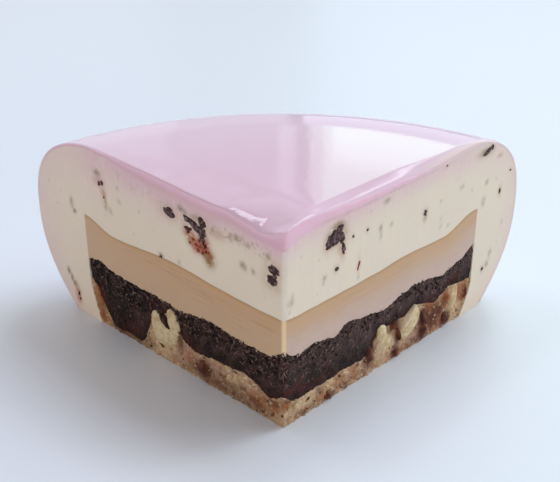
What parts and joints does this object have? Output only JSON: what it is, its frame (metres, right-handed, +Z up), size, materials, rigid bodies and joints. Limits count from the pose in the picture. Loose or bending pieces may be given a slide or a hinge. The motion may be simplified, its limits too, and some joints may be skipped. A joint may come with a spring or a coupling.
{
  "type": "mousse cake slice",
  "caption": "Quarter of a round mousse cake with a pink mirror glaze, pale mousse and a caramel, chocolate and nut insert that shows at both cuts.",
  "frame": {"origin": "under the middle of the slice's box, on the surface that it stands on", "axes": "+Z up; the slice's point faces -Y and its round side +Y; +X to the right, seen from the point"},
  "size_m": [0.1278, 0.0904, 0.0494],
  "materials": {
    "glaze": "poured pink mirror glaze, wet gloss",
    "mousse": "pale set mousse, fine and matt, with dark specks",
    "caramel": "set caramel cream, satin, with fine knife lines",
    "chocolate": "moist dark chocolate crumb",
    "biscuit": "rough nut biscuit with nut pieces"
  },
  "bodies": {
    "root": {"mirror_glaze": "glaze", "mousse": "mousse", "caramel_layer": "caramel", "chocolate_layer": "chocolate", "nut_base": "biscuit"}
  },
  "joints": []
}
